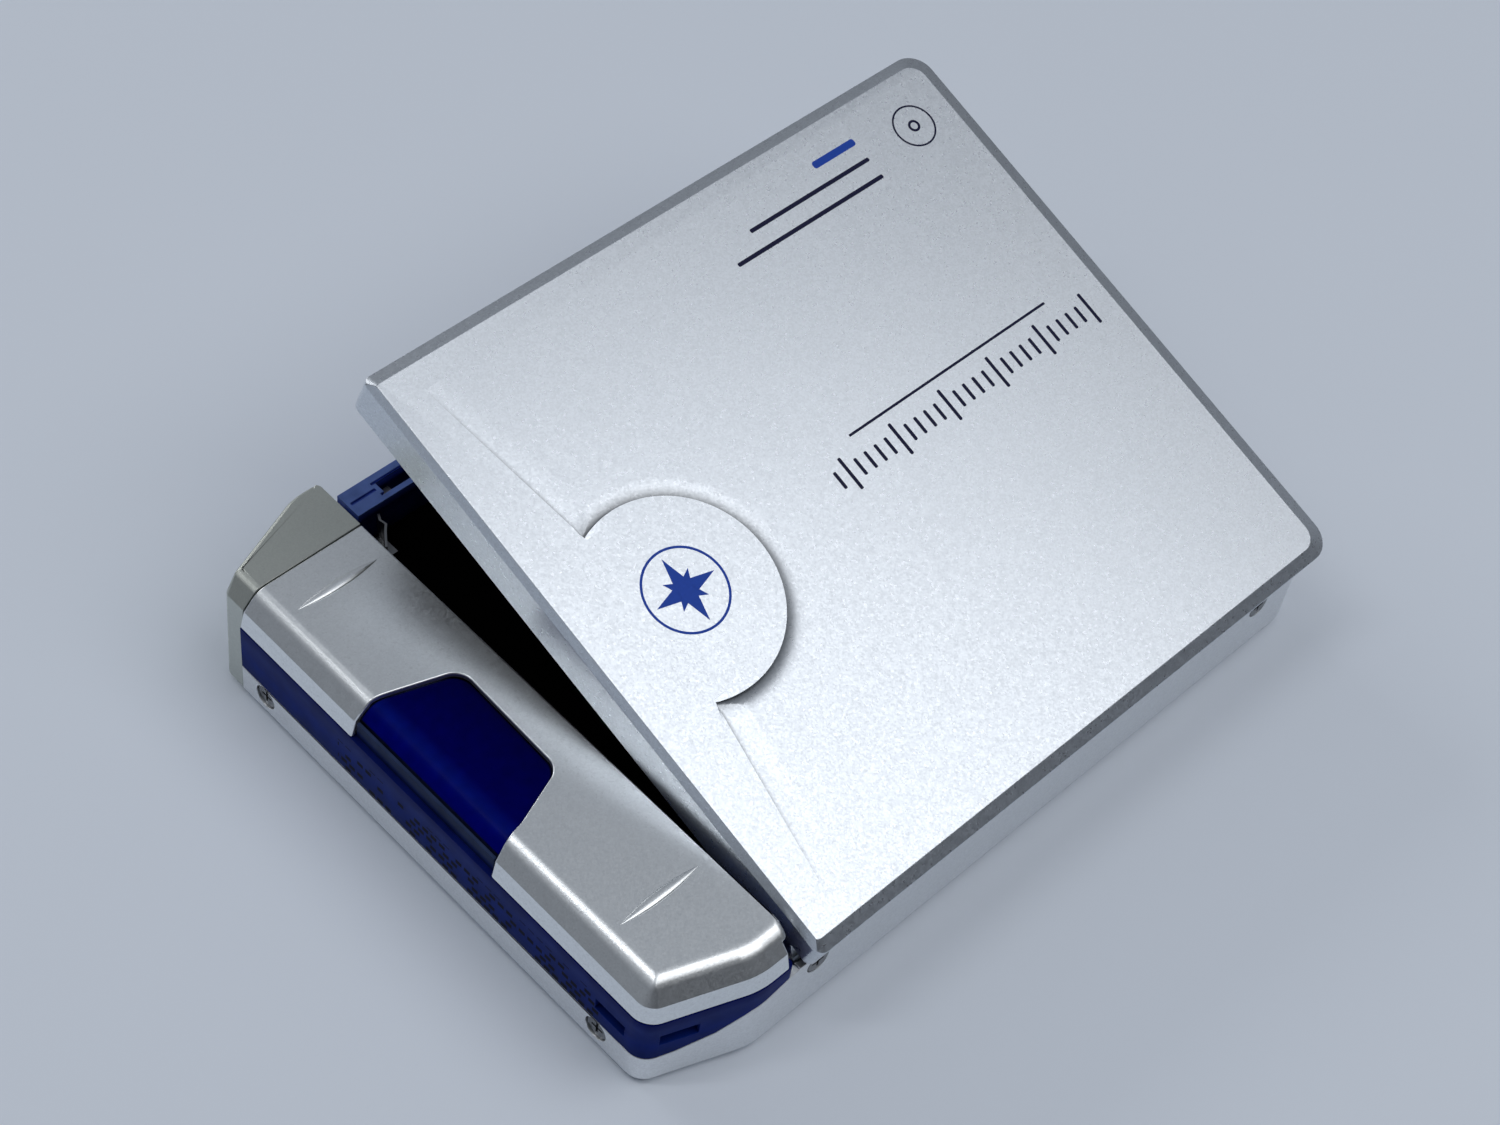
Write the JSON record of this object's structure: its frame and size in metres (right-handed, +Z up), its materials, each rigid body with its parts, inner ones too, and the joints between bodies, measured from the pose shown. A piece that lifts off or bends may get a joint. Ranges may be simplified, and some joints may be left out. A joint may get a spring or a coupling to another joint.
{
  "type": "portable minidisc player",
  "caption": "Pocket minidisc player with a hinged silver lid, blue front frame, battery section along one side, disc holder, sled drive, keys and sockets",
  "frame": {"origin": "centre of the case's base face", "axes": "+X to the battery section, +Y to the lid's hinge, +Z up"},
  "size_m": [0.0988, 0.0771, 0.038],
  "materials": {
    "lid_silver": "fine metallic paint, satin",
    "case_silver": "satin metallic paint",
    "cover_silver": "satin metallic paint",
    "blue_resin": "tinted, slightly clear, smooth",
    "dark_window": "very dark blue, polished",
    "door_olive": "satin metallic paint",
    "key_silver": "smooth silver",
    "screw_steel": "dark plated",
    "black_sheet": "flat black coated sheet",
    "damper_rubber": "soft, matte",
    "board_green": "solder mask",
    "chip_black": "moulded",
    "flex_film": "amber film",
    "motor_steel": "drawn can",
    "bright_steel": "bright",
    "cell_sleeve": "plain printed sleeve",
    "contact_metal": "plated",
    "socket_black": "moulded",
    "turntable_black": "moulded",
    "magnet_grey": "ground",
    "pickup_black": "moulded",
    "lens_clear": "polished",
    "gear_ivory": "moulded",
    "pinion_brass": "turned"
  },
  "bodies": {
    "case": {"bottom_case": "case_silver", "mid_frame": "blue_resin", "section_cover": "cover_silver", "cell_window": "dark_window", "case_screws": "screw_steel", "chassis_plate": "black_sheet", "chassis_dampers": "damper_rubber", "main_board": "board_green", "board_chips": "chip_black", "motor_flex": "flex_film", "spindle_motor": "motor_steel", "sled_motor": "motor_steel", "guide_rods": "bright_steel", "gear_axle": "bright_steel", "holder_pins": "bright_steel", "hinge_pins": "bright_steel", "battery_cell": "cell_sleeve", "cell_contact": "contact_metal", "key_board": "board_green", "headphone_jack": "socket_black", "power_jack": "socket_black", "holder_side_spring": "bright_steel"},
    "lid": {"lid_plate": "lid_silver", "lid_liner": "black_sheet", "lid_hook": "bright_steel"},
    "holder": {"disc_holder": "black_sheet"},
    "door": {"battery_door": "door_olive", "door_contact": "contact_metal"},
    "slider": {"open_slider": "key_silver", "open_catch": "bright_steel"},
    "hold": {"hold_switch": "key_silver"},
    "play_key": {"key_play": "key_silver"},
    "stop_key": {"key_stop": "key_silver"},
    "back_key": {"key_skip_back": "key_silver"},
    "forward_key": {"key_skip_forward": "key_silver"},
    "up_key": {"key_volume_up": "key_silver"},
    "down_key": {"key_volume_down": "key_silver"},
    "spindle": {"turntable": "turntable_black", "clamp_magnet": "magnet_grey"},
    "sled": {"pickup_carriage": "pickup_black", "objective_lens": "lens_clear"},
    "gear": {"drive_gear": "gear_ivory"},
    "pinion": {"motor_pinion": "pinion_brass"}
  },
  "joints": [
    {"name": "lid_hinge", "type": "hinge", "parent": "case", "child": "lid", "pos_m": [0, 0.035, 0.00878], "axis": [-1, 0, 0], "range_deg": [-18.2, 8]},
    {"name": "holder_hinge", "type": "hinge", "parent": "case", "child": "holder", "pos_m": [0, 0.0342, 0.0095], "axis": [-1, 0, 0], "range_deg": [-14.6, 6.5]},
    {"name": "door_slide", "type": "slide", "parent": "case", "child": "door", "axis": [0, -1, 0], "range_m": [0, 0.009]},
    {"name": "slider_slide", "type": "slide", "parent": "case", "child": "slider", "axis": [1, 0, 0], "range_m": [0, 0.0025], "stiffness_N_per_m": 300, "springref_m": -0.001},
    {"name": "hold_slide", "type": "slide", "parent": "case", "child": "hold", "axis": [0, 1, 0], "range_m": [-0.0011, 0.0011]},
    {"name": "play_key_press", "type": "slide", "parent": "case", "child": "play_key", "axis": [0, 1, 0], "range_m": [0, 0.00035], "stiffness_N_per_m": 400, "springref_m": -0.0002},
    {"name": "stop_key_press", "type": "slide", "parent": "case", "child": "stop_key", "axis": [0, 1, 0], "range_m": [0, 0.00035], "stiffness_N_per_m": 400, "springref_m": -0.0002},
    {"name": "back_key_press", "type": "slide", "parent": "case", "child": "back_key", "axis": [0, 1, 0], "range_m": [0, 0.00035], "stiffness_N_per_m": 400, "springref_m": -0.0002},
    {"name": "forward_key_press", "type": "slide", "parent": "case", "child": "forward_key", "axis": [0, 1, 0], "range_m": [0, 0.00035], "stiffness_N_per_m": 400, "springref_m": -0.0002},
    {"name": "up_key_press", "type": "slide", "parent": "case", "child": "up_key", "axis": [0, 1, 0], "range_m": [0, 0.00035], "stiffness_N_per_m": 400, "springref_m": -0.0002},
    {"name": "down_key_press", "type": "slide", "parent": "case", "child": "down_key", "axis": [0, 1, 0], "range_m": [0, 0.00035], "stiffness_N_per_m": 400, "springref_m": -0.0002},
    {"name": "spindle_turn", "type": "hinge", "parent": "case", "child": "spindle", "pos_m": [-0.00866, 0.0009, 0.009], "axis": [0, 0, 1], "continuous": true},
    {"name": "sled_slide", "type": "slide", "parent": "case", "child": "sled", "axis": [1, 0, 0], "range_m": [0, 0.0145]},
    {"name": "gear_turn", "type": "hinge", "parent": "case", "child": "gear", "pos_m": [0.01354, -0.0194, 0.006], "axis": [0, 0, 1], "range_deg": [-285, 5]},
    {"name": "pinion_turn", "type": "hinge", "parent": "case", "child": "pinion", "pos_m": [0.01868, -0.02553, 0.006], "axis": [0, 0, 1], "range_deg": [-5, 620]}
  ],
  "couplings": [
    {"joint": "holder_hinge", "follows": "lid_hinge", "ratio": 0.8},
    {"joint": "gear_turn", "follows": "sled_slide", "rad_per_m": -333.33},
    {"joint": "pinion_turn", "follows": "sled_slide", "rad_per_m": 733.33}
  ]
}
